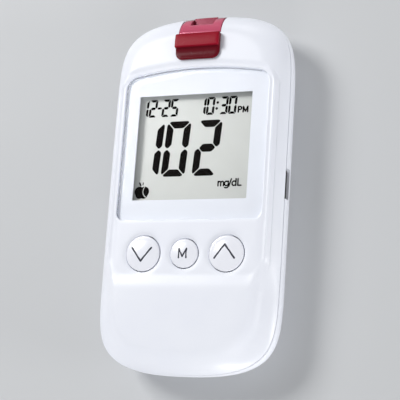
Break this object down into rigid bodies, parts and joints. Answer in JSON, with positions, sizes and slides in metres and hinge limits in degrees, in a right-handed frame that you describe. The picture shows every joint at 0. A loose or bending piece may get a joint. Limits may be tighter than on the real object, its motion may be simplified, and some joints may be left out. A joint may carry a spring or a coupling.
{
  "type": "blood glucose meter",
  "caption": "Hand-held blood glucose meter with an arched display window, round keys, a strip port with a thumb ejector, a side data socket and a hinged coin cell door.",
  "frame": {"origin": "under the middle of the outline, on the plane of the flat back", "axes": "+Z out of the face, +Y along the length to the strip port end, +X to the meter's right side, which has the data socket"},
  "size_m": [0.0502, 0.097, 0.0171],
  "materials": {
    "case_white": "glossy, cool white",
    "key_white": "glossy white",
    "window_clear": "clear pane with a printed border",
    "film": "grey-green display film",
    "lcd_glass": "thin clear glass",
    "guide_clear": "milky clear",
    "inner_white": "satin white",
    "contact_rubber": "matt black and pale layers",
    "board": "green solder mask",
    "inner_black": "matt black",
    "port_red": "deep translucent red, glossy",
    "contact_gold": "gold plated",
    "steel": "plain steel"
  },
  "bodies": {
    "housing": {"front_cover": "case_white", "back_cover": "case_white", "display_window": "window_clear", "lcd_front_polariser": "film", "lcd_front_glass": "lcd_glass", "lcd_rear_glass": "lcd_glass", "lcd_rear_polariser": "film", "lcd_light_guide": "guide_clear", "lcd_frame": "inner_white", "lcd_contact_strip_lower": "contact_rubber", "lcd_contact_strip_upper": "contact_rubber", "main_board": "board", "down_switch_base": "inner_black", "memory_switch_base": "inner_black", "up_switch_base": "inner_black", "strip_port": "port_red", "strip_connector": "inner_black", "strip_contact_1": "contact_gold", "strip_contact_2": "contact_gold", "strip_contact_3": "contact_gold", "ejector_spring": "steel", "data_socket_shell": "steel", "data_socket_tongue": "inner_black", "coin_cell": "steel", "cell_holder": "inner_black", "cell_contact_negative": "contact_gold", "cell_contact_positive": "contact_gold", "processor": "inner_black", "memory_chip": "inner_black", "crystal": "steel", "supply_coil": "inner_black", "buzzer": "inner_black", "temperature_sensor": "inner_black", "capacitor_1": "steel", "capacitor_2": "steel", "capacitor_3": "steel", "case_screw_1": "steel", "case_screw_2": "steel", "case_screw_3": "steel", "case_screw_4": "steel", "board_screw_1": "steel", "board_screw_2": "steel", "board_screw_3": "steel", "board_screw_4": "steel"},
    "down_key": {"down_button": "key_white", "down_switch_plunger": "inner_white"},
    "memory_key": {"memory_button": "key_white", "memory_switch_plunger": "inner_white"},
    "up_key": {"up_button": "key_white", "up_switch_plunger": "inner_white"},
    "ejector": {"ejector_slider": "port_red", "ejector_pusher": "inner_white"},
    "cell_door": {"battery_door": "case_white"}
  },
  "joints": [
    {"name": "down_key_press", "type": "slide", "parent": "housing", "child": "down_key", "axis": [0, 0, -1], "range_m": [0, 0.0006], "stiffness_N_per_m": 2500},
    {"name": "memory_key_press", "type": "slide", "parent": "housing", "child": "memory_key", "axis": [0, 0, -1], "range_m": [0, 0.0006], "stiffness_N_per_m": 2500},
    {"name": "up_key_press", "type": "slide", "parent": "housing", "child": "up_key", "axis": [0, 0, -1], "range_m": [0, 0.0006], "stiffness_N_per_m": 2500},
    {"name": "ejector_push", "type": "slide", "parent": "housing", "child": "ejector", "axis": [0, 1, 0], "range_m": [0, 0.004], "stiffness_N_per_m": 300, "deforming": ["ejector_spring"]},
    {"name": "cell_door_hinge", "type": "hinge", "parent": "housing", "child": "cell_door", "pos_m": [0, -0.0109, 0], "axis": [1, 0, 0], "range_deg": [0, 60]}
  ]
}
